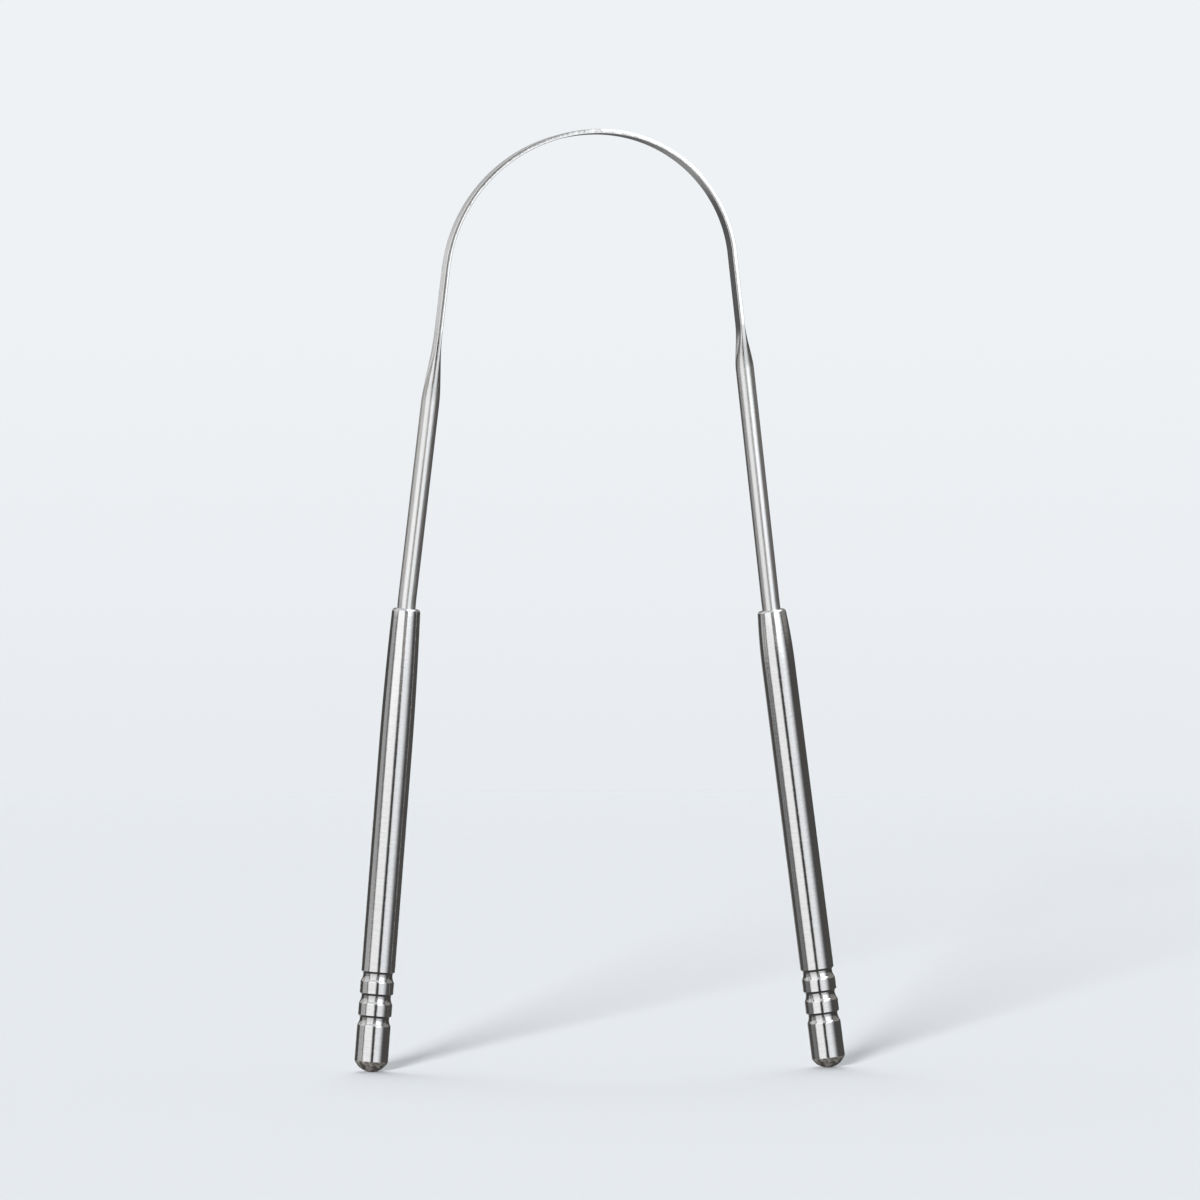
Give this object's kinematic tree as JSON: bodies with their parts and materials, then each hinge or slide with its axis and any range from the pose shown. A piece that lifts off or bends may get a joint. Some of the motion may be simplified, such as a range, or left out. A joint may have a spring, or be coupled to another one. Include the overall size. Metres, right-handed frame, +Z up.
{
  "type": "tongue scraper",
  "caption": "U-shaped steel tongue scraper: a springy flat band bent into an arch, on round wire legs with tube handles that end in rolled grip grooves and domed feet.",
  "frame": {"origin": "on the ground that the flats of its domed feet stand on, midway between the outer sides of the feet", "axes": "+Z up from the feet to the top of the arch, +X to the right of someone who faces the front, +Y away from them, across the band's width"},
  "size_m": [0.0812, 0.0058, 0.1542],
  "materials": {
    "band_steel": "stainless steel, pressed flat and polished",
    "wire_steel": "drawn stainless steel wire, fine lines along its length",
    "tube_steel": "satin stainless steel tube, ground round its girth",
    "plug_steel": "dull stainless steel, ground and tumbled"
  },
  "bodies": {
    "band": {"scraping_band": "band_steel"},
    "left_arm": {"left_wire_leg": "wire_steel", "left_handle_tube": "tube_steel", "left_end_plug": "plug_steel"},
    "right_arm": {"right_wire_leg": "wire_steel", "right_handle_tube": "tube_steel", "right_end_plug": "plug_steel"}
  },
  "joints": [
    {"name": "left_squeeze", "type": "hinge", "parent": "band", "child": "left_arm", "pos_m": [-0.01572, 0, 0.14582], "axis": [0, -1, 0], "range_deg": [-8, 12], "stiffness_Nm_per_rad": 1, "deforming": ["scraping_band"]},
    {"name": "right_squeeze", "type": "hinge", "parent": "band", "child": "right_arm", "pos_m": [0.01323, 0, 0.14671], "axis": [0, 1, 0], "range_deg": [-8, 12], "stiffness_Nm_per_rad": 1.14, "deforming": ["scraping_band"]}
  ]
}
